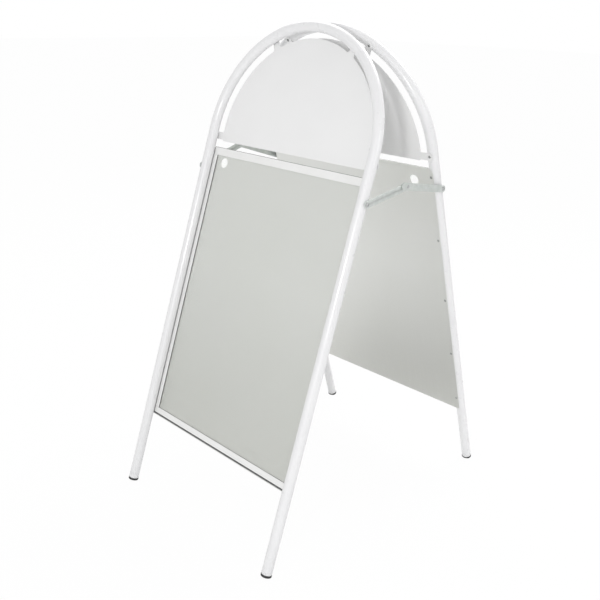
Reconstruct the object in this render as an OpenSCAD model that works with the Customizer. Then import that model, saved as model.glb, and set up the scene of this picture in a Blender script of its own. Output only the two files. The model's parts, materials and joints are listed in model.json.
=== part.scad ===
// Round-top pavement sign: two identical arched tube frames hinged at their crowns.
// Origin: on the floor, midway between the four feet. +Z up, +X right, front at -Y.

/* [Frame] */
// Outer diameter of the frame tube
tube_d = 30; // [28:0.5:31]
// Wall thickness of the frame tube
tube_wall = 1.5; // [1.2:0.1:2.5]
// Distance between the centrelines of a frame's two legs
frame_w = 640; // [636:1:660]
// Length of a leg from its cut end to the start of the arch
leg_len = 1145; // [1145:1:1180]
// Angle that each frame leans from the vertical when the sign is open
lean = 17.5; // [16:0.5:19]
// Distance between the centrelines of the two crowns when the sign is open
crown_gap = 53; // [50:1:60]

/* [Header sheet] */
// Radius of the half-disc header sheet
header_r = 291; // [285:1:293]
// Height of the header sheet's straight bottom edge, measured along the leg
header_low = 1110; // [1105:1:1112]
// Thickness of the header sheet
header_t = 1.5; // [1:0.1:2]
// Angle of the two upper tabs from the crown
tab_angle = 29.4; // [26:0.2:32]
// Width of an upper tab
tab_w = 23; // [20:0.5:28]

/* [Back panel] */
// Width of the steel back panel
panel_w = 648; // [642:1:656]
// Height of the panel's lower edge, measured along the leg
panel_low = 221; // [215:1:223]
// Height of the panel's upper edge, measured along the leg
panel_high = 1090; // [1080:1:1100]
// Thickness of the back panel
panel_t = 1; // [0.8:0.1:1.5]
// Radius of the finger hole that the cover is pushed off through
finger_r = 14.5; // [12:0.5:16]

/* [Cover] */
// Width of the clear poster cover
cover_w = 609; // [600:0.5:609]
// Height of the cover's lower edge, measured along the leg
cover_low = 224; // [224:1:228]
// Height of the cover's upper edge, measured along the leg
cover_high = 1090; // [1084:1:1090]
// Width of the magnetic tape round the cover's edge
tape_w = 12.5; // [11:0.5:16]

/* [Stays] */
// Height of the stay pivots, measured along the leg
stay_high = 1025; // [1000:1:1060]
// Height of the right stay's middle joint over the line between its two pivots
right_rise = 27; // [20:1:34]
// The same height for the left stay, whose links are a little longer
left_rise = 50; // [44:1:54]
// Width of a stay link
link_w = 20; // [18:0.5:22]
// Thickness of a stay link
link_t = 2.5; // [2:0.1:2.5]

/* [Hidden] */

// Sides: each frame is drawn once, and the rear one is turned half a turn about Z.
FRONT = 0;
REAR = 1;

// Frame
tube_r = tube_d / 2;
bore_r = tube_r - tube_wall;
arch_r = frame_w / 2;
frame_len = leg_len + arch_r;
end_high = 8;
foot_reach = crown_gap / 2 + frame_len * sin(lean);

// Fasteners
rivet_hole_r = 2.05;
rivet_r = 2;
rivet_head_r = 4;
rivet_head_h = 1.8;
rivet_bulb_r = 3.2;
rivet_bulb_h = 3;
bulb_gap = 0.3;
screw_r = 3;
screw_head_r = 6;
screw_head_h = 3;
screw_tip = 4;
socket_r = 2.3;
socket_deep = 1.6;
press_bore_r = 3.03;
running_bore_r = 3.08;
seat_gap = 0.01;

// Drills and cutters run past the faces that they cut
drill_past = 3;
cut_past = 1;

// Sheets lie against the inner side of the tubes
header_tab_low = 1125;
header_tab_w = 22;
header_corner_r = 10;
tab_root = 4;
tab_fillet_r = 6;
fillet_root = 3;
fillet_sink = 0.4;
join = 0.01;
panel_corner_high_r = 20;
panel_corner_low_r = 6;
panel_rivet_x = 317;
panel_rivet_high = [264, 447, 650, 860, 1062];
finger_x = -256;
finger_high = 1046;

// Cover: the film lies on the panel, the tape on the film, the facing on the tape
film_t = 0.4;
tape_t = 1.2;
facing_t = 0.3;
tape_high_w = 23.5;
tape_low_w = 23;
cover_corner_r = 3;
facing_side = 0.5;
facing_top = 1;
facing_low = 5;
facing_inner_side = 1;
facing_inner_end = 0.5;

// Feet
foot_r = 15.5;
foot_h = 5;
foot_edge_r = 2;
plug_r = bore_r - 0.2;
plug_h = 22;

// Hinge between the crowns: its axis lies level with them, midway between them
hinge_x = 40;
barrel_r = 6;
web_t = 9;
inner_knuckle_w = 12;
outer_knuckle_w = 8;
knuckle_gap = 0.4;
weld_gap = 0.04;
hinge_in = crown_gap / 2 * cos(lean);
hinge_high = frame_len + crown_gap / 2 * sin(lean);
pin_head_r = 4.6;
pin_head_h = 1.4;
pin_slack = 0.1;

// Stays: x positions of the layers outside the tubes
front_link_x = arch_r + tube_r + 1.5;
rear_link_x = front_link_x + link_t + 0.2;
pivot_y = foot_reach - stay_high * sin(lean);
pivot_z = end_high + stay_high * cos(lean);
function stay_rise(s) = s > 0 ? right_rise : left_rise;
function mid_z(s) = pivot_z + stay_rise(s);
function link_len(s) = sqrt(pivot_y * pivot_y + stay_rise(s) * stay_rise(s));
function link_angle(s) = atan2(stay_rise(s), pivot_y);
link_gap = 0.2;
open_gap = 0.3;
spacer_r = 7;
spacer_sink = 3;
mid_head_r = 5;
mid_head_h = 1.8;
mid_tail_h = 1.2;
tail_len = 16;
stop_from = 12;
stop_len = 11;
stop_t = 2.5;
stop_gap = 0.3;
stop_sink = 0.5;

// ---- shared shapes -------------------------------------------------------------

// Places a frame's own space in the sign: x right seen from outside, y inward, z up the leg
module leaf(side)
    rotate([0, 0, 180 * side])
        translate([0, -foot_reach, end_high])
            rotate([-lean, 0, 0])
                children();

// Stands a flat outline up as a sheet between y0 and y0 + t
module sheet(y0, t)
    translate([0, y0 + t, 0])
        rotate([90, 0, 0])
            linear_extrude(t)
                children();

// Draws a flat outline in the Y-Z plane as a plate from x to x + t
module side_plate(x, t)
    translate([x, 0, 0])
        rotate([90, 0, 90])
            linear_extrude(t)
                children();

// Turns a shape drawn along +Z so that it points inward, along +Y
module inward(x, y, z)
    translate([x, y, z])
        rotate([-90, 0, 0])
            children();

// Low dome with a flat base at z = 0
module dome(r, h) {
    ball_r = (r * r + h * h) / (2 * h);
    intersection() {
        translate([0, 0, h - ball_r]) sphere(r = ball_r, $fn = 64);
        cylinder(r = r, h = h, $fn = 48);
    }
}

// Upright rectangle with rounded corners, from z0 to z1
module rounded_plate(w, z0, z1, high_r, low_r) {
    translate([-w / 2, z0 + low_r]) square([w, z1 - z0 - high_r - low_r]);
    translate([-w / 2 + high_r, z1 - high_r]) square([w - 2 * high_r, high_r]);
    translate([-w / 2 + low_r, z0]) square([w - 2 * low_r, low_r]);
    for (s = [-1, 1]) {
        translate([s * (w / 2 - high_r), z1 - high_r]) circle(r = high_r, $fn = 64);
        translate([s * (w / 2 - low_r), z0 + low_r]) circle(r = low_r, $fn = 48);
    }
}

// Arch and two legs as one round bar of radius r, with the legs run down by extra
module arch_bar(r, extra = 0) {
    translate([0, 0, leg_len])
        rotate([90, 0, 0])
            rotate_extrude(angle = 180, $fn = 180)
                translate([arch_r, 0]) circle(r = r, $fn = 64);
    for (s = [-1, 1])
        translate([s * arch_r, 0, -extra])
            cylinder(r = r, h = leg_len + extra, $fn = 64);
}

// Places of the header's four rivets and of the panel's rivets, in a frame's own x and z
header_rivets = [
    for (s = [-1, 1]) [s * arch_r * sin(tab_angle), leg_len + arch_r * cos(tab_angle)],
    for (s = [-1, 1]) [s * arch_r, header_tab_low]
];
panel_rivets = [for (s = [-1, 1], z = panel_rivet_high) [s * panel_rivet_x, z]];

// Drilled holes for a list of rivets, through the sheet and the tube's inner wall
module rivet_holes(places)
    for (p = places)
        inward(p[0], bore_r - drill_past, p[1])
            cylinder(r = rivet_hole_r, h = tube_wall + header_t + 2 * drill_past, $fn = 32);

// Blind rivet: head on the sheet's inner face, shank through the wall, bulb inside the tube.
// The panel's rivets sit off the leg's centreline, where the bore's curve leaves less room.
module rivet(x, z, grip) {
    seat = tube_r + grip;
    bulb_edge = arch_r - panel_rivet_x + rivet_bulb_r;
    bulb_end = sqrt(bore_r * bore_r - bulb_edge * bulb_edge) - bulb_gap;
    inward(x, seat, z) dome(rivet_head_r, rivet_head_h);
    inward(x, bulb_end, z) cylinder(r = rivet_r, h = seat - bulb_end, $fn = 32);
    inward(x, bulb_end - rivet_bulb_h, z) cylinder(r = rivet_bulb_r, h = rivet_bulb_h, $fn = 32);
}

// Button-head screw along +X: head outside x_seat, shank from x_tip, hexagonal socket
module button_screw(x_tip, x_seat)
    rotate([0, 90, 0])
        difference() {
            union() {
                translate([0, 0, x_tip]) cylinder(r = screw_r, h = x_seat - x_tip, $fn = 48);
                translate([0, 0, x_seat]) dome(screw_head_r, screw_head_h);
            }
            translate([0, 0, x_seat + screw_head_h - socket_deep])
                cylinder(r = socket_r, h = screw_head_h, $fn = 6);
        }

// Mirrors a shape drawn on the right side to the left when s is -1
module on_side(s)
    mirror([s < 0 ? 1 : 0, 0, 0]) children();

// ---- frame parts ---------------------------------------------------------------

module frame_tube() {
    difference() {
        arch_bar(tube_r);
        arch_bar(bore_r, 1);
        rivet_holes(header_rivets);
        rivet_holes(panel_rivets);
        for (s = [-1, 1])
            on_side(s)
                translate([arch_r + bore_r - drill_past, 0, stay_high])
                    rotate([0, 90, 0])
                        cylinder(r = press_bore_r, h = tube_wall + 2 * drill_past, $fn = 32);
    }
}

// Tab at an angle from the crown, with filleted roots and a round end round its rivet
module upper_tab(angle)
    translate([0, leg_len])
        rotate(angle) {
            translate([-tab_w / 2, header_r - tab_root])
                square([tab_w, arch_r - header_r + tab_root]);
            translate([0, arch_r]) circle(r = tab_w / 2, $fn = 64);
            for (s = [-1, 1])
                difference() {
                    translate([s < 0 ? -tab_w / 2 - tab_fillet_r : tab_w / 2,
                               header_r - fillet_root])
                        square([tab_fillet_r, tab_fillet_r + fillet_root - fillet_sink]);
                    translate([s * (tab_w / 2 + tab_fillet_r),
                               header_r + tab_fillet_r - fillet_sink])
                        circle(r = tab_fillet_r, $fn = 48);
                }
        }

module header_outline() {
    intersection() {
        translate([0, leg_len]) circle(r = header_r, $fn = 180);
        translate([-header_r - cut_past, leg_len])
            square([2 * (header_r + cut_past), header_r + cut_past]);
    }
    rounded_plate(2 * header_r, header_low, leg_len + join, join / 2, header_corner_r);
    for (s = [-1, 1]) {
        upper_tab(s * tab_angle);
        translate([s * arch_r, header_tab_low]) circle(r = header_tab_w / 2, $fn = 64);
        translate([s < 0 ? -arch_r : header_r - tab_root, header_tab_low - header_tab_w / 2])
            square([arch_r - header_r + tab_root, header_tab_w]);
    }
}

module header_sheet()
    difference() {
        sheet(tube_r, header_t) header_outline();
        rivet_holes(header_rivets);
    }

module back_panel()
    difference() {
        sheet(tube_r, panel_t)
            rounded_plate(panel_w, panel_low, panel_high, panel_corner_high_r, panel_corner_low_r);
        rivet_holes(panel_rivets);
        inward(finger_x, tube_r - cut_past, finger_high)
            cylinder(r = finger_r, h = panel_t + 2 * cut_past, $fn = 64);
    }

// End plug and foot: the flange's lower edge is worn flat where it meets the floor
module foot(side, s) {
    edge_z = -foot_h + foot_edge_r;
    outline = concat(
        [[0, plug_h], [plug_r, plug_h], [plug_r, 0], [foot_r, 0], [foot_r, edge_z]],
        [for (a = [15:15:90])
            [foot_r - foot_edge_r + foot_edge_r * cos(a), edge_z - foot_edge_r * sin(a)]],
        [[0, -foot_h]]
    );
    intersection() {
        leaf(side) translate([s * arch_r, 0, 0]) rotate_extrude($fn = 64) polygon(outline);
        translate([-frame_w, -foot_reach - tube_d, 0])
            cube([2 * frame_w, 2 * (foot_reach + tube_d), plug_h * 2]);
    }
}

// ---- cover ---------------------------------------------------------------------

module cover_film()
    sheet(tube_r - film_t, film_t)
        rounded_plate(cover_w, cover_low, cover_high, cover_corner_r, cover_corner_r);

// Flat ring whose outer and inner edges are given as half widths and heights
module border_ring(outer_x, low, high, inner_x, inner_low, inner_high)
    difference() {
        translate([-outer_x, low]) square([2 * outer_x, high - low]);
        translate([-inner_x, inner_low]) square([2 * inner_x, inner_high - inner_low]);
    }

module magnet_tape()
    sheet(tube_r - film_t - tape_t, tape_t)
        border_ring(cover_w / 2, cover_low, cover_high,
                    cover_w / 2 - tape_w, cover_low + tape_low_w, cover_high - tape_high_w);

module border_facing()
    sheet(tube_r - film_t - tape_t - facing_t, facing_t)
        border_ring(cover_w / 2 - facing_side, cover_low + facing_low, cover_high - facing_top,
                    cover_w / 2 - tape_w + facing_inner_side,
                    cover_low + tape_low_w - facing_inner_end,
                    cover_high - tape_high_w + facing_inner_end);

// ---- hinge ---------------------------------------------------------------------

// One knuckle, w wide and centred on x: a bored barrel and a web welded to the crown tube
module knuckle(x, w, bore) {
    tube_z = leg_len + sqrt(arch_r * arch_r - x * x);
    web_angle = atan2(hinge_high - tube_z, hinge_in);
    difference() {
        side_plate(x - w / 2, w)
            translate([hinge_in, hinge_high])
                difference() {
                    union() {
                        circle(r = barrel_r, $fn = 48);
                        rotate(web_angle)
                            translate([-hinge_in, -web_t / 2]) square([hinge_in, web_t]);
                    }
                    circle(r = bore, $fn = 48);
                }
        translate([x, 0, tube_z])
            rotate([0, asin(x / arch_r), 0])
                rotate([0, 90, 0])
                    cylinder(r = tube_r + weld_gap, h = 3 * w, center = true, $fn = 64);
    }
}

outer_knuckle_x = inner_knuckle_w / 2 + knuckle_gap + outer_knuckle_w / 2;
hinge_half_w = inner_knuckle_w / 2 + knuckle_gap + outer_knuckle_w;

module outer_knuckles()
    for (s = [-1, 1], e = [-1, 1])
        knuckle(s * hinge_x + e * outer_knuckle_x, outer_knuckle_w, press_bore_r);

module inner_knuckles()
    for (s = [-1, 1])
        knuckle(s * hinge_x, inner_knuckle_w, running_bore_r);

module crown_pins()
    for (s = [-1, 1])
        translate([s * hinge_x, hinge_in, hinge_high])
            rotate([0, 90, 0]) {
                translate([0, 0, -hinge_half_w - pin_slack])
                    cylinder(r = screw_r, h = 2 * (hinge_half_w + pin_slack), $fn = 48);
                for (e = [0, 1])
                    mirror([0, 0, e])
                        translate([0, 0, hinge_half_w + pin_slack]) dome(pin_head_r, pin_head_h);
            }

// ---- stays ---------------------------------------------------------------------

// Bushes that hold the links clear of the tubes, seated on the tube's curve
module spacers(x_end)
    for (s = [-1, 1])
        on_side(s)
            difference() {
                translate([arch_r + tube_r - spacer_sink, 0, stay_high])
                    rotate([0, 90, 0])
                        cylinder(r = spacer_r, h = x_end - arch_r - tube_r + spacer_sink, $fn = 48);
                translate([arch_r, 0, stay_high - 2 * spacer_r])
                    cylinder(r = tube_r, h = 4 * spacer_r, $fn = 64);
                translate([arch_r, 0, stay_high])
                    rotate([0, 90, 0]) cylinder(r = running_bore_r, h = 3 * tube_r, $fn = 48);
            }

// Flat bar outline along +Y from the first pivot, with round ends and an optional tail
module bar_outline(len, tail) {
    translate([-tail, -link_w / 2]) square([len + tail, link_w]);
    translate([-tail, 0]) circle(r = link_w / 2, $fn = 64);
    translate([len, 0]) circle(r = link_w / 2, $fn = 64);
}

module front_link(s)
    on_side(s)
        translate([0, -pivot_y, pivot_z])
            rotate([link_angle(s), 0, 0])
                side_plate(front_link_x, link_t)
                    difference() {
                        bar_outline(link_len(s), 0);
                        circle(r = running_bore_r, $fn = 48);
                        translate([link_len(s), 0]) circle(r = press_bore_r, $fn = 48);
                    }

// The rear link runs past the middle joint, and a tab on its tail rests on the front link
module rear_link(s)
    on_side(s)
        translate([0, 0, mid_z(s)]) {
            rotate([-link_angle(s), 0, 0])
                side_plate(rear_link_x, link_t)
                    difference() {
                        bar_outline(link_len(s), tail_len);
                        circle(r = running_bore_r, $fn = 48);
                        translate([link_len(s), 0]) circle(r = press_bore_r, $fn = 48);
                    }
            rotate([link_angle(s), 0, 0])
                translate([front_link_x, -stop_from - stop_len, link_w / 2 + stop_gap])
                    cube([rear_link_x - front_link_x + stop_sink, stop_len, stop_t]);
        }

module mid_rivet(s)
    on_side(s)
        translate([0, 0, mid_z(s)])
            rotate([0, 90, 0]) {
                translate([0, 0, front_link_x - link_gap])
                    cylinder(r = screw_r, h = 2 * link_t + 3 * link_gap, $fn = 48);
                translate([0, 0, rear_link_x + link_t + link_gap]) dome(mid_head_r, mid_head_h);
                mirror([0, 0, 1])
                    translate([0, 0, link_gap - front_link_x]) dome(mid_head_r, mid_tail_h);
            }

module front_screws()
    leaf(FRONT)
        for (s = [-1, 1])
            on_side(s)
                translate([0, 0, stay_high])
                    button_screw(arch_r + bore_r - screw_tip, front_link_x + link_t + link_gap);

// The rear pivot's shank ends flush with the link, where the linkage is opened
module rear_screw(s)
    on_side(s)
        translate([0, pivot_y, pivot_z])
            button_screw(rear_link_x, rear_link_x + link_t + seat_gap);

// ---- named pieces --------------------------------------------------------------

module enamel() color([0.95, 0.95, 0.95]) children();
module galvanised() color([0.80, 0.81, 0.79]) children();
module zinc() color([0.76, 0.79, 0.76]) children();
module black_plastic() color([0.10, 0.10, 0.10]) children();

module front_tube() enamel() leaf(FRONT) frame_tube();
module rear_tube() enamel() leaf(REAR) frame_tube();

module front_header_sheet() enamel() leaf(FRONT) header_sheet();
module rear_header_sheet() enamel() leaf(REAR) header_sheet();

module front_back_panel() galvanised() leaf(FRONT) back_panel();
module rear_back_panel() galvanised() leaf(REAR) back_panel();

module front_header_rivets() zinc() leaf(FRONT) for (p = header_rivets) rivet(p[0], p[1], header_t);
module rear_header_rivets() zinc() leaf(REAR) for (p = header_rivets) rivet(p[0], p[1], header_t);
module front_panel_rivets() zinc() leaf(FRONT) for (p = panel_rivets) rivet(p[0], p[1], panel_t);
module rear_panel_rivets() zinc() leaf(REAR) for (p = panel_rivets) rivet(p[0], p[1], panel_t);

// Left and right are as seen from the front, so the rear frame's own x is reversed
module front_left_foot() black_plastic() foot(FRONT, -1);
module front_right_foot() black_plastic() foot(FRONT, 1);
module rear_left_foot() black_plastic() foot(REAR, 1);
module rear_right_foot() black_plastic() foot(REAR, -1);

module front_hinge_knuckles() enamel() leaf(FRONT) outer_knuckles();
module rear_hinge_knuckles() enamel() leaf(REAR) inner_knuckles();
module hinge_pins() zinc() leaf(FRONT) crown_pins();

module front_stay_spacers() zinc() leaf(FRONT) spacers(front_link_x - link_gap);
module rear_stay_spacers() zinc() leaf(REAR) spacers(rear_link_x - open_gap);
module front_pivot_screws() zinc() front_screws();

module front_cover_film() color([0.85, 0.87, 0.88, 0.25]) leaf(FRONT) cover_film();
module rear_cover_film() color([0.85, 0.87, 0.88, 0.25]) leaf(REAR) cover_film();
module front_magnet_tape() black_plastic() leaf(FRONT) magnet_tape();
module rear_magnet_tape() black_plastic() leaf(REAR) magnet_tape();
module front_border_facing() enamel() leaf(FRONT) border_facing();
module rear_border_facing() enamel() leaf(REAR) border_facing();

module right_front_link() zinc() front_link(1);
module left_front_link() zinc() front_link(-1);
module right_mid_rivet() zinc() mid_rivet(1);
module left_mid_rivet() zinc() mid_rivet(-1);
module right_rear_link() zinc() rear_link(1);
module left_rear_link() zinc() rear_link(-1);
module right_rear_pivot_screw() zinc() rear_screw(1);
module left_rear_pivot_screw() zinc() rear_screw(-1);

front_tube();
front_header_sheet();
front_back_panel();
front_header_rivets();
front_panel_rivets();
front_left_foot();
front_right_foot();
front_hinge_knuckles();
hinge_pins();
front_stay_spacers();
front_pivot_screws();
rear_tube();
rear_header_sheet();
rear_back_panel();
rear_header_rivets();
rear_panel_rivets();
rear_left_foot();
rear_right_foot();
rear_hinge_knuckles();
rear_stay_spacers();
front_cover_film();
front_magnet_tape();
front_border_facing();
rear_cover_film();
rear_magnet_tape();
rear_border_facing();
right_front_link();
right_mid_rivet();
left_front_link();
left_mid_rivet();
right_rear_link();
right_rear_pivot_screw();
left_rear_link();
left_rear_pivot_screw();
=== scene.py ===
"""Looks of the round-top pavement sign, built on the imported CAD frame.

Pieces are drawn in millimetres, each in its own drawing space, and placed into the row frame in
metres. A frame's drawing space has x to the right as seen from outside, y inward and z up the leg.
"""
import json
import math

import bmesh
import bpy
from mathutils import Matrix, Vector


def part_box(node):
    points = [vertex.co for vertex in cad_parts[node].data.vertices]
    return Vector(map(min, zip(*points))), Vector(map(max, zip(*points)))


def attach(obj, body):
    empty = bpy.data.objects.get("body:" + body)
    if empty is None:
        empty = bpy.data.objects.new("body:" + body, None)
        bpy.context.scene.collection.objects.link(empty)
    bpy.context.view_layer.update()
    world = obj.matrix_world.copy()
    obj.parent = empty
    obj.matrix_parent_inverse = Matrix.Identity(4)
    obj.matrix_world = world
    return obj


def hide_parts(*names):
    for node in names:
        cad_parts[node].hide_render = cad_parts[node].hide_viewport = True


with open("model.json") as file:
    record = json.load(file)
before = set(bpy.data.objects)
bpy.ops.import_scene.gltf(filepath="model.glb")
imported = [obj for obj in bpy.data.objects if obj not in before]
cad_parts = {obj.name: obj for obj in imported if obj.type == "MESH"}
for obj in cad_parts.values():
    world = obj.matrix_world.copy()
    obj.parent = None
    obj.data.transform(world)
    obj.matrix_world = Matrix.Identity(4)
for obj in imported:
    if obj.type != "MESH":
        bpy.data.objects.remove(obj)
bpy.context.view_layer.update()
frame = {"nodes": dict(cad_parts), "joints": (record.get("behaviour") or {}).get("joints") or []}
scene = bpy.context.scene

# ---- measures --------------------------------------------------------------------
# Read from the frame, in millimetres

MM = 0.001
joints = {joint["name"]: joint for joint in frame["joints"]}
lean = math.asin(joints["front_cover_pull"]["axis"][2])
foot_low, foot_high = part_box("front_right_foot")
tube_low, tube_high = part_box("front_tube")
arch_r = round((foot_low.x + foot_high.x) / 2 / MM, 1)
tube_r = round(tube_high.x / MM - arch_r, 1)
end_high = tube_low.z / MM + tube_r * math.sin(lean)
foot_reach = -tube_low.y / MM - tube_r * math.cos(lean)
leg_len = (tube_high.z / MM - tube_r - end_high) / math.cos(lean) - arch_r

# Frame tube
tube_wall = 1.5
tube_sides = 48
tube_edge_r = 0.45

# Header sheet
header_r = 291
header_corner_r = 10
tab_angle = 29.4
tab_half_w = 11.5
tab_fillet_r = 6
fillet_sink = 0.4
low_tab_high = 1125
low_tab_half_w = 11

# Back panel
panel_corner_high_r = 20
panel_corner_low_r = 6
finger_x = -256
finger_high = 1046
finger_r = 14.5

# Cover. Strip widths are those at the sides, the top and the bottom
cover_corner_r = 3
# The tape's strips are wider than the facing's, most at the bottom, so black rubber shows beside the
# white facing: partly the real tape's edge, partly painted shade, dark rubber standing in for the
# shadow beside and below the raised strip
tape_and_painted_shade_widths = (18, 23.5, 23)
facing_widths = (16.5, 22.5, 18)
seam = 0.25
air = 0.03
# The flexible cover's sides reach a little behind the legs' curve, which the rigid plate can't
tuck = 5.5

# Fasteners
head_sink = 0.05
rivet_head = (4.0, 1.8)
rivet_pit_r = 1.1
rivet_pit_deep = 0.9
rivet_shank_r = 2
rivet_bulb = (3.2, 3.0)
screw_head = (6.0, 3.0)
screw_r = 3
socket_r = 2.3
socket_deep = 1.6
mid_head = (5.0, 1.8)
mid_tail = (5.0, 1.2)
screw_past_wall = 5

# Stays
link_half_w = 10
link_hole_r = 3.08
tail_len = 16
stop_from = 12
stop_len = 11
stop_t = 2.5
stop_gap = 0.3

# Feet
foot_r = 15.5
foot_h = 7.5
plug_h = 22
plug_rib = 0.25
rib_count = 5
rib_first = 2.5
rib_step = 3.4

# Weld beads, at two angles in degrees about the crown tube
bead_r = 1.9
bead_ripple = 0.10
bead_lifts = (24, -20)
bead_clear = 0.4

# Rounding of edges
hard_angle = math.radians(40)
weld_reach = 0.005
header_edge_r = 0.4
panel_edge_r = 0.25
film_edge_r = 0.1
tape_edge_r = 0.15
facing_edge_r = 0.1
link_edge_r = 0.45
knuckle_edge_r = 0.35
spacer_edge_r = 0.2
pin_edge_r = 0.12

# ---- drawing spaces --------------------------------------------------------------


def leaf_space(side):
    """From a frame's drawing space to the row frame; the rear one is the front one turned round."""
    turn = Matrix.Rotation(math.pi if side == "rear" else 0, 4, "Z")
    place = Matrix.Translation((0, -foot_reach, end_high)) @ Matrix.Rotation(-lean, 4, "X")
    return Matrix.Scale(MM, 4) @ turn @ place


def link_space(pivot, angle, side_sign):
    """From a stay's drawing space, x along the bar, y outward and z across it, to the row frame."""
    along = Vector((0, math.cos(angle), math.sin(angle)))
    across = Vector((0, -math.sin(angle), math.cos(angle)))
    axes = Matrix((along, (side_sign, 0, 0), across)).transposed().to_4x4()
    return Matrix.Translation((0, pivot.y, pivot.z)) @ Matrix.Scale(MM, 4) @ axes


def inward(x, y, z):
    """Places a turned shape so that its axis points inward, along the drawing's y."""
    return Matrix.Translation((x, y, z)) @ Matrix.Rotation(-math.pi / 2, 4, "X")


def solid_boxes(node, space):
    """Lowest and highest corner of each separate solid of a CAD node, in a drawing space."""
    bm = bmesh.new()
    bm.from_mesh(frame["nodes"][node].data)
    bmesh.ops.transform(bm, matrix=space.inverted(), verts=bm.verts)
    bmesh.ops.remove_doubles(bm, verts=bm.verts, dist=0.001)
    boxes, unseen = [], set(bm.verts)
    while unseen:
        group, queue = [], [unseen.pop()]
        while queue:
            vert = queue.pop()
            group.append(tuple(vert.co))
            near = {edge.other_vert(vert) for edge in vert.link_edges} & unseen
            unseen -= near
            queue.extend(near)
        axes = list(zip(*group))
        boxes.append((Vector([min(a) for a in axes]), Vector([max(a) for a in axes])))
    bm.free()
    return sorted(boxes, key=lambda box: tuple(box[0]))


# ---- outlines, in x and z --------------------------------------------------------


def arc(x, z, r, start, end, step=5):
    """Round stretch about (x, z), from one angle in degrees to another."""
    count = max(2, math.ceil(abs(end - start) / step))
    angles = [math.radians(start + (end - start) * i / count) for i in range(count + 1)]
    return [(x + r * math.cos(a), z + r * math.sin(a)) for a in angles]


def rounded(half_w, low, high, low_r, high_r):
    """Upright rectangle about x = 0 with rounded corners."""
    low_x, high_x = half_w - low_r, half_w - high_r
    return (arc(low_x, low + low_r, low_r, -90, 0) + arc(high_x, high - high_r, high_r, 0, 90)
            + arc(-high_x, high - high_r, high_r, 90, 180) + arc(-low_x, low + low_r, low_r, 180, 270))


def rectangle(x0, x1, z0, z1):
    return [(x0, z0), (x1, z0), (x1, z1), (x0, z1)]


def upper_tab():
    """Tab at the crown: fillet, side, round end about its rivet, side, fillet."""
    fillet_x = tab_half_w + tab_fillet_r
    fillet_z = header_r + tab_fillet_r - fillet_sink
    half = arc(fillet_x, fillet_z, tab_fillet_r, 270, 180, 15) + arc(0, arch_r, tab_half_w, 0, 90)
    return half + [(-x, z) for x, z in reversed(half[:-1])]


def turned(points, degrees):
    """Outline turned clockwise about the arch's centre, and moved up to it."""
    a = math.radians(degrees)
    return [(x * math.cos(a) + z * math.sin(a), leg_len - x * math.sin(a) + z * math.cos(a))
            for x, z in points]


def header_outline(low):
    """Half disc on a low band, with a tab at each rivet."""
    corner_z = low + header_corner_r
    tab_low = low_tab_high - low_tab_half_w
    meet = math.degrees(math.asin((tab_low - corner_z) / header_corner_r))
    root = math.degrees(math.asin((tab_half_w + tab_fillet_r) / header_r))
    half = arc(header_r - header_corner_r, corner_z, header_corner_r, -90, meet, 9)
    half += arc(arch_r, low_tab_high, low_tab_half_w, -90, 90, 6)
    half += [(header_r, low_tab_high + low_tab_half_w)]
    half += arc(0, leg_len, header_r, 0, 90 - tab_angle - root, 1.5)
    half += turned(upper_tab(), tab_angle)
    half += arc(0, leg_len, header_r, 90 - tab_angle + root, 90, 1.5)
    return half + [(-x, z) for x, z in reversed(half[:-1])]


# ---- shapes ----------------------------------------------------------------------


def plate(bm, loops, y0, y1):
    """Adds a flat plate from y0 to y1: the first outline is its edge, the others are holes."""
    edges = []
    for loop in loops:
        verts = [bm.verts.new((x, y0, z)) for x, z in loop]
        edges += [bm.edges.new(pair) for pair in zip(verts, verts[1:] + verts[:1])]
    filled = bmesh.ops.triangle_fill(bm, edges=edges, use_beauty=True)["geom"]
    faces = [item for item in filled if isinstance(item, bmesh.types.BMFace)]
    grown = bmesh.ops.extrude_face_region(bm, geom=faces, use_keep_orig=True)["geom"]
    moved = [item for item in grown if isinstance(item, bmesh.types.BMVert)]
    bmesh.ops.translate(bm, verts=moved, vec=(0, y1 - y0, 0))


def skin(bm, rings, closed):
    """Joins rings of vertices with quads; a closed skin also joins the last ring to the first."""
    pairs = list(zip(rings, rings[1:])) + ([(rings[-1], rings[0])] if closed else [])
    for low, high in pairs:
        count = max(len(low), len(high))
        for i in range(count):
            j = (i + 1) % count
            corners = [low[i % len(low)], low[j % len(low)], high[j % len(high)], high[i % len(high)]]
            bm.faces.new(list(dict.fromkeys(corners)))


def lathe(bm, profile, place, sides=40):
    """Adds a turned shape from (radius, height) pairs; a radius of 0 is a point on the axis.
    A third value of 6 makes that ring a hexagon that is as wide as the radius at its corners."""
    rings = []
    for radius, height, *shape in profile:
        if radius == 0:
            rings.append([bm.verts.new(place @ Vector((0, 0, height)))])
            continue
        ring = []
        for i in range(sides):
            angle = 2 * math.pi * i / sides
            reach = radius
            if shape:
                flat = math.pi / shape[0]
                reach *= math.cos(flat) / math.cos((angle % (2 * flat)) - flat)
            spot = Vector((reach * math.cos(angle), reach * math.sin(angle), height))
            ring.append(bm.verts.new(place @ spot))
        rings.append(ring)
    skin(bm, rings, False)


def dome(r, h, steps=9):
    """Profile of a low dome from its top outward and down to a short upright rim."""
    rim = 0.12 * h
    ball = (r * r + (h - rim) ** 2) / (2 * (h - rim))
    reach = [r * i / steps for i in range(1, steps + 1)]
    return [(x, rim + math.sqrt(ball * ball - x * x) - (ball - (h - rim))) for x in reach] + [(r, 0)]


def arch_ring(bm, centre, tangent, radius):
    """Ring of the tube's skin about its centreline, which lies in the x-z plane."""
    side = Vector((tangent.z, 0, -tangent.x))
    ring = []
    for i in range(tube_sides):
        angle = 2 * math.pi * i / tube_sides
        reach = side * math.cos(angle) + Vector((0, 1, 0)) * math.sin(angle)
        ring.append(bm.verts.new(centre + reach * radius))
    return ring


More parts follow.
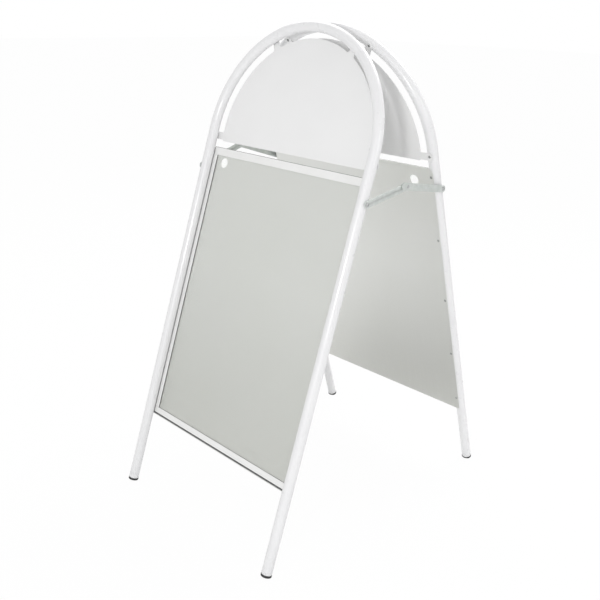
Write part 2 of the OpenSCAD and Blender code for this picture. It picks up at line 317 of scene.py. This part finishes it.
def arch_stations():
    """Points and directions along the bent tube, from one cut end to the other."""
    leg = [0, tube_edge_r * 0.3, tube_edge_r]
    leg += [leg_len * i / 16 for i in range(1, 16)]
    up = [(Vector((-arch_r, 0, z)), Vector((0, 0, 1))) for z in leg]
    bend = []
    for i in range(145):
        angle = math.pi * (1 - i / 144)
        spot = Vector((arch_r * math.cos(angle), 0, leg_len + arch_r * math.sin(angle)))
        bend.append((spot, Vector((math.sin(angle), 0, -math.cos(angle)))))
    down = [(Vector((arch_r, 0, z)), Vector((0, 0, -1))) for z in reversed(leg)]
    return up + bend + down


# ---- materials -------------------------------------------------------------------


class Paint:
    """A Principled material whose colour, roughness and relief vary by procedural noise."""

    def __init__(self, name, metallic=0.0, coat=0.0, coat_roughness=0.1):
        self.material = bpy.data.materials.new(name)
        self.material.use_nodes = True
        self.tree = self.material.node_tree
        self.shader = self.tree.nodes["Principled BSDF"]
        self.shader.inputs["Metallic"].default_value = metallic
        self.shader.inputs["Coat Weight"].default_value = coat
        self.shader.inputs["Coat Roughness"].default_value = coat_roughness
        self.shader.inputs["IOR"].default_value = 1.5
        self.place = self.add("ShaderNodeTexCoord").outputs["Object"]
        self.relief = None

    def add(self, kind, **settings):
        node = self.tree.nodes.new(kind)
        for key, value in settings.items():
            setattr(node, key, value)
        return node

    def link(self, a, b):
        self.tree.links.new(a, b)

    def stretched(self, scale):
        mapping = self.add("ShaderNodeMapping")
        mapping.inputs["Scale"].default_value = scale
        self.link(self.place, mapping.inputs["Vector"])
        return mapping.outputs["Vector"]

    def noise(self, scale, detail=3.0, vector=None):
        noise = self.add("ShaderNodeTexNoise")
        noise.inputs["Scale"].default_value = scale
        noise.inputs["Detail"].default_value = detail
        self.link(vector or self.place, noise.inputs["Vector"])
        return noise.outputs["Fac"]

    def cells(self, scale):
        cells = self.add("ShaderNodeTexVoronoi")
        cells.inputs["Scale"].default_value = scale
        self.link(self.place, cells.inputs["Vector"])
        grey = self.add("ShaderNodeRGBToBW")
        self.link(cells.outputs["Color"], grey.inputs["Color"])
        return grey.outputs["Val"]

    def range(self, value, low, high, start=0.3, end=0.7):
        """Value from start to end becomes low to high, and no more."""
        node = self.add("ShaderNodeMapRange")
        for key, number in (("From Min", start), ("From Max", end), ("To Min", low), ("To Max", high)):
            node.inputs[key].default_value = number
        self.link(value, node.inputs["Value"])
        return node.outputs["Result"]

    def combine(self, a, b, operation="MULTIPLY"):
        node = self.add("ShaderNodeMath", operation=operation)
        self.link(a, node.inputs[0])
        self.link(b, node.inputs[1])
        return node.outputs["Value"]

    def blend(self, share, a, b):
        """Colour a where share is 0 and b where it is 1; either may be another blend."""
        node = self.add("ShaderNodeMix", data_type="RGBA")
        self.link(share, node.inputs["Factor"])
        for socket, colour in (("A", a), ("B", b)):
            target = [i for i in node.inputs if i.name == socket and i.type == "RGBA"][0]
            if isinstance(colour, tuple):
                target.default_value = (*colour, 1)
            else:
                self.link(colour, target)
        return [o for o in node.outputs if o.type == "RGBA"][0]

    def colour(self, socket):
        self.link(socket, self.shader.inputs["Base Color"])

    def roughness(self, socket):
        self.link(socket, self.shader.inputs["Roughness"])

    def bump(self, height, depth):
        """Adds relief of a real depth in metres on top of what is there."""
        node = self.add("ShaderNodeBump")
        node.inputs["Strength"].default_value = 1.0
        node.inputs["Distance"].default_value = depth
        self.link(height, node.inputs["Height"])
        if self.relief is not None:
            self.link(self.relief, node.inputs["Normal"])
        self.relief = node.outputs["Normal"]
        self.link(self.relief, self.shader.inputs["Normal"])


def white_enamel():
    """Gloss powder coat: orange-peel skin, faint mottling and light scuffs near the floor."""
    paint = Paint("white_enamel", coat=0.4, coat_roughness=0.12)
    mottle = paint.range(paint.noise(9), 0, 1)
    base = paint.blend(mottle, (0.745, 0.745, 0.755), (0.77, 0.77, 0.775))
    specks = paint.range(paint.noise(2600, 1), 0, 0.10, 0.60, 0.78)
    scuffs = paint.range(paint.noise(60, 5, paint.stretched((1, 1, 0.35))), 0, 1, 0.60, 0.70)
    height = paint.add("ShaderNodeSeparateXYZ")
    paint.link(paint.place, height.inputs["Vector"])
    near_floor = paint.range(height.outputs["Z"], 0.35, 0, 0.0, 0.16)
    dirty = paint.combine(paint.combine(scuffs, near_floor), specks, "ADD")
    paint.colour(paint.blend(dirty, base, (0.55, 0.54, 0.52)))
    paint.roughness(paint.range(paint.noise(45, 4), 0.26, 0.36))
    paint.bump(paint.noise(520, 2), 0.00007)
    paint.bump(paint.noise(40, 2), 0.0002)
    return paint.material


def header_enamel():
    """Satin powder coat of the flat header sheets, with a finer skin."""
    paint = Paint("header_enamel")
    mottle = paint.range(paint.noise(5), 0, 1)
    base = paint.blend(mottle, (0.775, 0.775, 0.775), (0.795, 0.795, 0.795))
    specks = paint.range(paint.noise(2200, 1), 0, 0.12, 0.60, 0.78)
    paint.colour(paint.blend(specks, base, (0.6, 0.6, 0.59)))
    paint.roughness(paint.range(paint.noise(30, 4), 0.40, 0.50))
    paint.bump(paint.noise(700, 2), 0.00004)
    paint.bump(paint.noise(7, 1), 0.0010)
    return paint.material


def galvanised_steel():
    """Zinc-coated sheet: small soft crystals, faint rolling streaks, and painted shade that darkens it
    towards the ground.
    """
    paint = Paint("galvanised_steel", metallic=0.9)
    crystals = paint.range(paint.cells(190), 0, 1, 0.1, 0.9)
    streaks = paint.range(paint.noise(1, 5, paint.stretched((420, 6, 5))), 0, 1)
    grain = paint.combine(crystals, streaks)
    clouds = paint.range(paint.noise(3.5), 0, 1)
    base = paint.blend(clouds, (0.765, 0.775, 0.745), (0.785, 0.79, 0.77))
    height = paint.add("ShaderNodeSeparateXYZ")
    paint.link(paint.place, height.inputs["Vector"])
    # Painted shade: the sheet's colour darkens from mid height down towards the ground, in place of
    # light that falls off lower down
    painted_shade_low = paint.range(height.outputs["Z"], 0.62, 0, 0.24, 0.72)
    base = paint.blend(painted_shade_low, base, (0.55, 0.555, 0.52))
    paint.colour(paint.blend(paint.range(grain, 0, 0.20, 0, 1), base, (0.79, 0.795, 0.78)))
    paint.roughness(paint.range(crystals, 0.35, 0.41, 0, 1))
    paint.bump(streaks, 0.000015)
    paint.bump(paint.noise(5, 1), 0.0008)
    return paint.material


def zinc(name, low, high, roughness):
    """Zinc-plated small steel: brushed, slightly cloudy, with darker specks."""
    paint = Paint(name, metallic=0.85)
    clouds = paint.range(paint.noise(70, 4), 0, 1)
    base = paint.blend(clouds, low, high)
    specks = paint.range(paint.noise(900, 2), 0, 0.5, 0.62, 0.75)
    paint.colour(paint.blend(specks, base, tuple(0.7 * c for c in low)))
    paint.roughness(paint.range(paint.noise(200, 3), roughness - 0.05, roughness + 0.06))
    paint.bump(paint.noise(1, 3, paint.stretched((900, 60, 900))), 0.00004)
    return paint.material


def magnetic_rubber():
    """Dark magnetic tape: matt, grainy, with dusty patches."""
    paint = Paint("magnetic_rubber")
    dust = paint.range(paint.noise(90, 5), 0, 1, 0.45, 0.75)
    paint.colour(paint.blend(dust, (0.055, 0.055, 0.06), (0.12, 0.12, 0.12)))
    paint.roughness(paint.range(dust, 0.55, 0.75, 0, 1))
    paint.bump(paint.noise(1500, 2), 0.00004)
    return paint.material


def border_white():
    """White facing of the tape: smooth vinyl, faintly warm, slightly uneven."""
    paint = Paint("border_white")
    mottle = paint.range(paint.noise(14, 3), 0, 1)
    paint.colour(paint.blend(mottle, (0.775, 0.775, 0.765), (0.80, 0.80, 0.795)))
    paint.roughness(paint.range(paint.noise(60, 3), 0.32, 0.42))
    paint.bump(paint.noise(55, 2), 0.00012)
    return paint.material


def black_plastic():
    """Moulded plastic of the feet: fine grain, greyed where it has rubbed on the ground."""
    paint = Paint("black_plastic")
    height = paint.add("ShaderNodeSeparateXYZ")
    paint.link(paint.place, height.inputs["Vector"])
    worn = paint.combine(paint.range(height.outputs["Z"], 0.5, 0, 0, 0.004),
                         paint.range(paint.noise(300, 4), 0.2, 1))
    paint.colour(paint.blend(worn, (0.018, 0.018, 0.019), (0.09, 0.088, 0.085)))
    paint.roughness(paint.range(paint.noise(400, 3), 0.38, 0.52))
    paint.bump(paint.noise(2500, 2), 0.00003)
    return paint.material


def clear_film():
    """Clear cover: nearly all light goes through, with a soft, uneven gloss on top."""
    paint = Paint("clear_film")
    tree, shader = paint.tree, paint.shader
    haze = paint.range(paint.noise(6, 3), 0, 1)
    paint.colour(paint.blend(haze, (0.80, 0.81, 0.80), (0.86, 0.87, 0.86)))
    paint.roughness(paint.range(paint.noise(25, 4), 0.30, 0.38))
    paint.bump(paint.noise(9, 2), 0.0003)
    through = paint.add("ShaderNodeBsdfTransparent")
    through.inputs["Color"].default_value = (0.99, 0.992, 0.988, 1)
    share = paint.range(paint.noise(3, 2), 0.05, 0.07)
    mix = paint.add("ShaderNodeMixShader")
    paint.link(share, mix.inputs["Fac"])
    paint.link(through.outputs["BSDF"], mix.inputs[1])
    paint.link(shader.outputs["BSDF"], mix.inputs[2])
    paint.link(mix.outputs["Shader"], tree.nodes["Material Output"].inputs["Surface"])
    return paint.material


materials = {
    "white_enamel": white_enamel(),
    "header_enamel": header_enamel(),
    "galvanised_steel": galvanised_steel(),
    "clear_film": clear_film(),
    "magnetic_rubber": magnetic_rubber(),
    "border_white": border_white(),
    "black_plastic": black_plastic(),
    "zinc_stay": zinc("zinc_stay", (0.62, 0.655, 0.63), (0.72, 0.75, 0.73), 0.38),
    "zinc_fasteners": zinc("zinc_fasteners", (0.42, 0.43, 0.43), (0.54, 0.55, 0.55), 0.34),
}

# ---- finishing a piece -----------------------------------------------------------


def round_edges(obj, width):
    """Rounds the hard edges, with normals that keep the flat faces flat."""
    bevel = obj.modifiers.new("rounded_edges", "BEVEL")
    bevel.width = width * MM
    bevel.segments = 3
    bevel.limit_method = "ANGLE"
    bevel.angle_limit = hard_angle
    bevel.harden_normals = True


def piece(name, bm, space, body, slot, stands_for, edge=0):
    """Places a drawing, shades it, paints it and hands it to its CAD body. A piece whose edges get
    rounded is shaded flat, and any other one is smooth between its hard edges."""
    bmesh.ops.transform(bm, matrix=space, verts=bm.verts)
    bmesh.ops.recalc_face_normals(bm, faces=bm.faces)
    for face in bm.faces:
        face.smooth = edge == 0
    for rim in bm.edges:
        rim.smooth = rim.calc_face_angle(0) < hard_angle
    mesh = bpy.data.meshes.new(name)
    bm.to_mesh(mesh)
    bm.free()
    mesh.materials.append(materials[slot])
    obj = bpy.data.objects.new(name, mesh)
    scene.collection.objects.link(obj)
    if edge:
        round_edges(obj, edge)
    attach(obj, body)
    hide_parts(*stands_for)


def keep_node(node, slot, edge):
    """A CAD node whose shape is right: welded along its face borders, edges rounded, painted."""
    obj = frame["nodes"][node]
    obj.data.materials.clear()
    obj.data.materials.append(materials[slot])
    weld = obj.modifiers.new("welded", "WELD")
    weld.merge_threshold = weld_reach * MM
    round_edges(obj, edge)


# ---- frames ----------------------------------------------------------------------


def make_tube(side, space):
    """One bent tube, hollow, with its cut ends broken smooth."""
    bm = bmesh.new()
    stations = arch_stations()
    outer = []
    for index, (spot, tangent) in enumerate(stations):
        from_end = min(index, len(stations) - 1 - index)
        drop = (tube_edge_r, tube_edge_r * 0.3, 0)[min(from_end, 2)]
        outer.append(arch_ring(bm, spot, tangent, tube_r - drop))
    inner = [arch_ring(bm, spot, tangent, tube_r - tube_wall) for spot, tangent in reversed(stations)]
    skin(bm, outer + inner, True)
    piece(f"{side}_tube_skin", bm, space, f"{side}_frame", "white_enamel", [f"{side}_tube"])


def make_header(side, space):
    node = f"{side}_header_sheet"
    low, high = solid_boxes(node, space)[0]
    bm = bmesh.new()
    plate(bm, [header_outline(low.z)], low.y, high.y)
    piece(f"{side}_header", bm, space, f"{side}_frame", "header_enamel", [node],
          edge=header_edge_r)


def make_panel(side, space):
    node = f"{side}_back_panel"
    low, high = solid_boxes(node, space)[0]
    bm = bmesh.new()
    outline = rounded(high.x, low.z, high.z, panel_corner_low_r, panel_corner_high_r)
    plate(bm, [outline, arc(finger_x, finger_high, finger_r, 0, 355)], low.y, high.y)
    piece(f"{side}_panel", bm, space, f"{side}_frame", "galvanised_steel", [node],
          edge=panel_edge_r)


def make_rivets(side, space, kind):
    """Blind rivets: domed head with a pit where the mandrel broke off, shank and bulb."""
    node = f"{side}_{kind}_rivets"
    sheet = f"{side}_header_sheet" if kind == "header" else f"{side}_back_panel"
    sheet_high = solid_boxes(sheet, space)[0][1]
    bm = bmesh.new()
    head_r, head_h = rivet_head
    bulb_r, bulb_h = rivet_bulb
    for low, high in solid_boxes(node, space):
        base = sheet_high.y - head_sink
        bulb_top = low.y + bulb_h - base
        pit = head_h - rivet_pit_deep
        profile = [(0, pit), (rivet_pit_r * 0.8, pit), (rivet_pit_r, head_h - 0.15)]
        profile += [(r, h) for r, h in dome(head_r, head_h) if r > rivet_pit_r * 1.1]
        profile += [(rivet_shank_r, 0), (rivet_shank_r, bulb_top), (bulb_r, bulb_top - 0.5)]
        profile += [(bulb_r, low.y - base + 0.5), (bulb_r - 0.6, low.y - base), (0, low.y - base)]
        middle = (low + high) / 2
        lathe(bm, profile, inward(middle.x, base, middle.z), 32)
    piece(f"{side}_{kind}_blind_rivets", bm, space, f"{side}_frame", "zinc_fasteners", [node])


def make_foot(side, name, space):
    """Plug with grip ribs and a round flange, ground flat where it meets the floor."""
    node = f"{side}_{name}_foot"
    centre = solid_boxes(node, space)[0]
    x = round((centre[0].x + centre[1].x) / 2)
    plug_r = tube_r - tube_wall - 0.2
    profile = [(0, -foot_h), (foot_r - 5, -foot_h), (foot_r - 4.6, -foot_h + 0.35)]
    profile += [(foot_r - 4.2, -foot_h), (foot_r - 2, -foot_h)]
    profile += [(foot_r - 2 + 2 * math.sin(a), -foot_h + 2 - 2 * math.cos(a))
                for a in [math.radians(d) for d in range(15, 91, 15)]]
    profile += [(foot_r, -0.9), (foot_r - 0.25, -0.45), (foot_r - 0.5, 0), (plug_r - plug_rib, 0)]
    for rib in range(rib_count):
        start = rib_first + rib * rib_step
        profile += [(plug_r - plug_rib, start), (plug_r, start + 0.4), (plug_r, start + 1.2)]
        profile += [(plug_r - plug_rib, start + 1.6)]
    profile += [(plug_r - plug_rib, plug_h - 2), (plug_r - 1.6, plug_h), (0, plug_h)]
    bm = bmesh.new()
    lathe(bm, profile, Matrix.Translation((x, 0, 0)), 64)
    bmesh.ops.transform(bm, matrix=space, verts=bm.verts)
    parts = bm.verts[:] + bm.edges[:] + bm.faces[:]
    cut = bmesh.ops.bisect_plane(bm, geom=parts, plane_co=(0, 0, 0), plane_no=(0, 0, -1),
                                 clear_outer=True)
    rim = [item for item in cut["geom_cut"] if isinstance(item, bmesh.types.BMEdge)]
    bmesh.ops.contextual_create(bm, geom=rim)
    piece(f"{side}_{name}_foot_plug", bm, Matrix.Identity(4), f"{side}_frame", "black_plastic", [node])


# ---- covers ----------------------------------------------------------------------


def make_film(side, space):
    node = f"{side}_cover_film"
    low, high = solid_boxes(node, space)[0]
    bm = bmesh.new()
    outline = rounded(high.x + tuck, low.z, high.z, cover_corner_r, cover_corner_r)
    plate(bm, [outline], low.y + air, high.y - air)
    piece(f"{side}_film", bm, space, f"{side}_cover", "clear_film", [node], edge=film_edge_r)


def make_border(side, space, node, slot, widths, name, edge):
    """Four strips round the cover's edge, butted at the corners with a hairline seam."""
    low, high = solid_boxes(node, space)[0]
    side_w, top_w, bottom_w = widths
    y0, y1 = low.y + air, high.y - air
    left, right = low.x - tuck, high.x + tuck
    bm = bmesh.new()
    plate(bm, [rectangle(left, right, high.z - top_w, high.z)], y0, y1)
    plate(bm, [rectangle(left, right, low.z, low.z + bottom_w)], y0, y1)
    for x0, x1 in ((left, left + side_w), (right - side_w, right)):
        plate(bm, [rectangle(x0, x1, low.z + bottom_w + seam, high.z - top_w - seam)], y0, y1)
    piece(name, bm, space, f"{side}_cover", slot, [node], edge=edge)


# ---- hinge -----------------------------------------------------------------------


def make_welds(side, space):
    """Weld beads along both sides of each knuckle's root on the crown."""
    node = f"{side}_hinge_knuckles"
    bm = bmesh.new()
    steps = 14
    reach = tube_r + bead_clear
    for low, high in solid_boxes(node, space):
        for lift in map(math.radians, bead_lifts):
            rings = []
            for i in range(steps + 1):
                x = low.x + (high.x - low.x) * i / steps
                crown = leg_len + math.sqrt(arch_r ** 2 - x ** 2)
                bead = bead_r * math.sqrt(max(0.04, 1 - (2 * i / steps - 1) ** 4))
                bead *= 1 + bead_ripple * math.cos(i * 2.6)
                spot = Vector((x, reach * math.cos(lift), crown + reach * math.sin(lift)))
                ring = []
                for k in range(12):
                    a = 2 * math.pi * k / 12
                    out = Vector((0, bead * math.cos(a), bead * math.sin(a)))
                    ring.append(bm.verts.new(spot + out))
                rings.append(ring)
            skin(bm, rings, False)
            bm.faces.new(rings[0])
            bm.faces.new(rings[-1])
    piece(f"{side}_hinge_welds", bm, space, f"{side}_frame", "white_enamel", [])


# ---- stays -----------------------------------------------------------------------


def bar_outline(length, tail):
    return arc(length, 0, link_half_w, -90, 90, 6) + arc(-tail, 0, link_half_w, 90, 270, 6)


def button_head(head, base, tip, socket=True):
    """Profile of a domed head with a hexagonal socket, or a plain one, and a shank down to tip."""
    head_r, head_h = head
    if socket:
        profile = [(0, head_h - socket_deep), (socket_r * 0.97, head_h - socket_deep, 6)]
        profile += [(socket_r, head_h - 0.28, 6), (socket_r * 1.12, head_h - 0.12)]
    else:
        profile = [(0, head_h)]
    profile += [(r, h) for r, h in dome(head_r, head_h) if r > socket_r * 1.2 or not socket]
    profile += [(screw_r, 0), (screw_r, tip - base + 0.4), (screw_r - 0.4, tip - base), (0, tip - base)]
    return [(p[0], p[1] + base, *p[2:]) for p in profile]


def make_stay(name, sign):
    """Both links of one stay, the rivet at its middle joint and the screw at the rear link's far end.
    It gives back the pivot and the seat for the front link's screw.
    """
    pivot = Vector(joints[f"{name}_front_link_turn"]["pos_m"])
    middle = Vector(joints[f"{name}_rear_link_turn"]["pos_m"])
    length = (middle - pivot).length / MM
    angle = math.atan2(middle.z - pivot.z, middle.y - pivot.y)
    layers = {}
    for end in ("front", "rear"):
        low, high = (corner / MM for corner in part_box(f"{name}_{end}_link"))
        layers[end] = sorted((abs(low.x), abs(high.x)))
    front_x = layers["front"]
    link_t = front_x[1] - front_x[0]
    rear_x = (layers["rear"][1] - link_t, layers["rear"][1])
    holes = [arc(0, 0, link_hole_r, 0, 350, 10), arc(length, 0, link_hole_r, 0, 350, 10)]

    bm = bmesh.new()
    plate(bm, [bar_outline(length, 0)] + holes, *front_x)
    space = link_space(pivot, angle, sign)
    piece(f"{name}_front_bar", bm, space, f"{name}_front_link", "zinc_stay",
          [f"{name}_front_link"], edge=link_edge_r)

    bm = bmesh.new()
    plate(bm, [bar_outline(length, tail_len)] + holes, *rear_x)
    stop = rectangle(-stop_from - stop_len, -stop_from, link_half_w + stop_gap,
                     link_half_w + stop_gap + stop_t)
    tilt = Matrix.Rotation(-2 * angle, 4, "Y")
    before = set(bm.verts)
    plate(bm, [stop], front_x[0], rear_x[0] + 0.5)
    bmesh.ops.transform(bm, matrix=tilt, verts=[v for v in bm.verts if v not in before])
    space = link_space(middle, -angle, sign)
    piece(f"{name}_rear_bar", bm, space, f"{name}_rear_link", "zinc_stay",
          [f"{name}_rear_link"], edge=link_edge_r)

    outward = Matrix.Rotation(-math.pi / 2, 4, "X")
    bm = bmesh.new()
    head_r, head_h = mid_head
    tail_r, tail_h = mid_tail
    base, foot = rear_x[1] + air, front_x[0] - air
    profile = [(0, base + head_h)] + [(r, h + base) for r, h in dome(head_r, head_h)]
    profile += [(screw_r, base), (screw_r, foot)]
    profile += [(r, foot - h) for r, h in reversed(dome(tail_r, tail_h))]
    profile += [(1.5, foot - tail_h), (1.2, foot - tail_h + 0.5), (0, foot - tail_h + 0.5)]
    lathe(bm, profile, outward)
    piece(f"{name}_mid_joint_rivet", bm, link_space(middle, 0, sign), f"{name}_front_link",
          "zinc_fasteners", [f"{name}_mid_rivet"])

    bm = bmesh.new()
    lathe(bm, button_head(screw_head, rear_x[1] + air, rear_x[0]), outward, 48)
    open_end = Vector((0, -pivot.y, pivot.z))
    piece(f"{name}_rear_screw", bm, link_space(open_end, 0, sign), f"{name}_rear_link",
          "zinc_fasteners", [f"{name}_rear_pivot_screw"])
    return pivot, front_x[1]


def make_front_screws(pivot, seat):
    """The two screws that hold the stays to the front frame."""
    bm = bmesh.new()
    outward = Matrix.Rotation(-math.pi / 2, 4, "X")
    for sign in (-1, 1):
        flip = Matrix.Diagonal((1, sign, 1, 1))
        profile = button_head(screw_head, seat + 0.2, arch_r + tube_r - tube_wall - screw_past_wall)
        lathe(bm, profile, flip @ outward, 48)
    piece("front_stay_screws", bm, link_space(pivot, 0, 1), "front_frame", "zinc_fasteners",
          ["front_pivot_screws"])


# ---- assembly --------------------------------------------------------------------

for side in ("front", "rear"):
    space = leaf_space(side)
    make_tube(side, space)
    make_header(side, space)
    make_panel(side, space)
    make_rivets(side, space, "header")
    make_rivets(side, space, "panel")
    make_foot(side, "left", space)
    make_foot(side, "right", space)
    make_film(side, space)
    # Black tape wider than the white facing: the real tape's edge, and painted shade round the strip
    make_border(side, space, f"{side}_magnet_tape", "magnetic_rubber", tape_and_painted_shade_widths,
                f"{side}_tape_strips", tape_edge_r)
    make_border(side, space, f"{side}_border_facing", "border_white", facing_widths,
                f"{side}_facing_strips", facing_edge_r)
    make_welds(side, space)
    keep_node(f"{side}_hinge_knuckles", "white_enamel", knuckle_edge_r)
    keep_node(f"{side}_stay_spacers", "zinc_fasteners", spacer_edge_r)
keep_node("hinge_pins", "zinc_fasteners", pin_edge_r)
make_stay("left", -1)
make_front_screws(*make_stay("right", 1))

# ---- studio ----------------------------------------------------------------------


def make_floor():
    """Plain pale floor. To the camera it is nearly plain white, as in a catalogue picture."""
    bm = bmesh.new()
    bmesh.ops.create_grid(bm, x_segments=1, y_segments=1, size=30)
    mesh = bpy.data.meshes.new("floor")
    bm.to_mesh(mesh)
    bm.free()
    floor = bpy.data.objects.new("floor", mesh)
    scene.collection.objects.link(floor)
    material = bpy.data.materials.new("floor")
    material.use_nodes = True
    tree = material.node_tree
    tree.nodes.clear()
    diffuse = tree.nodes.new("ShaderNodeBsdfDiffuse")
    diffuse.inputs["Color"].default_value = (0.86, 0.86, 0.86, 1)
    glow = tree.nodes.new("ShaderNodeEmission")
    glow.inputs["Color"].default_value = (1, 1, 1, 1)
    path = tree.nodes.new("ShaderNodeLightPath")
    share = tree.nodes.new("ShaderNodeMath")
    share.operation = "MULTIPLY"
    share.inputs[1].default_value = 0.97
    mix = tree.nodes.new("ShaderNodeMixShader")
    output = tree.nodes.new("ShaderNodeOutputMaterial")
    tree.links.new(path.outputs["Is Camera Ray"], share.inputs[0])
    tree.links.new(share.outputs["Value"], mix.inputs["Fac"])
    tree.links.new(diffuse.outputs["BSDF"], mix.inputs[1])
    tree.links.new(glow.outputs["Emission"], mix.inputs[2])
    tree.links.new(mix.outputs["Shader"], output.inputs["Surface"])
    mesh.materials.append(material)


def make_world():
    """Soft white room, a little lighter low down, and plain white to the camera."""
    world = bpy.data.worlds.new("studio")
    world.use_nodes = True
    scene.world = world
    tree = world.node_tree
    tree.nodes.clear()
    place = tree.nodes.new("ShaderNodeTexCoord")
    split = tree.nodes.new("ShaderNodeSeparateXYZ")
    rise = tree.nodes.new("ShaderNodeMapRange")
    for key, number in (("From Min", -0.1), ("From Max", 0.6), ("To Min", 1.18), ("To Max", 0.91)):
        rise.inputs[key].default_value = number
    room = tree.nodes.new("ShaderNodeBackground")
    plain = tree.nodes.new("ShaderNodeBackground")
    plain.inputs["Color"].default_value = (1, 1, 1, 1)
    path = tree.nodes.new("ShaderNodeLightPath")
    mix = tree.nodes.new("ShaderNodeMixShader")
    output = tree.nodes.new("ShaderNodeOutputWorld")
    tree.links.new(place.outputs["Generated"], split.inputs["Vector"])
    tree.links.new(split.outputs["Z"], rise.inputs["Value"])
    tree.links.new(rise.outputs["Result"], room.inputs["Strength"])
    tree.links.new(path.outputs["Is Camera Ray"], mix.inputs["Fac"])
    tree.links.new(room.outputs["Background"], mix.inputs[1])
    tree.links.new(plain.outputs["Background"], mix.inputs[2])
    tree.links.new(mix.outputs["Shader"], output.inputs["Surface"])


def area_light(name, spot, target, size, power):
    data = bpy.data.lights.new(name, "AREA")
    data.shape = "DISK"
    data.size = size
    data.energy = power
    lamp = bpy.data.objects.new(name, data)
    lamp.location = spot
    lamp.rotation_mode = "QUATERNION"
    lamp.rotation_quaternion = (Vector(target) - Vector(spot)).to_track_quat("-Z", "Y")
    scene.collection.objects.link(lamp)


def make_camera():
    """Camera at the reference picture's viewing angle."""
    data = bpy.data.cameras.new("camera")
    data.lens = 48.505
    data.sensor_width = 36
    data.shift_x = 0.0139
    data.shift_y = -0.0101
    data.dof.use_dof = False
    camera = bpy.data.objects.new("camera", data)
    heading, drop, roll = math.radians(45.632), math.radians(19.583), math.radians(1.524)
    tilt = Matrix.Rotation(heading, 4, "Z") @ Matrix.Rotation(math.pi / 2 - drop, 4, "X")
    camera.matrix_world = (Matrix.Translation((1.6451, -1.6965, 1.4555)) @ tilt
                           @ Matrix.Rotation(roll, 4, "Z"))
    scene.collection.objects.link(camera)
    scene.camera = camera


make_floor()
make_world()
area_light("key", (1.75, -3.75, 1.55), (0, 0, 0.85), 0.5, 42)
area_light("side", (2.6, -0.25, 1.8), (0.1, 0.15, 1.05), 1.0, 7)
area_light("back_left", (-1.6, 1.0, 3.2), (-0.6, -0.2, 0), 2.0, 20)
area_light("back", (0.2, 2.2, 3.4), (0, 0, 0.2), 2.0, 55)
make_camera()
scene.view_settings.view_transform = "Standard"
scene.view_settings.look = "None"
scene.view_settings.exposure = 0
scene.view_settings.gamma = 1
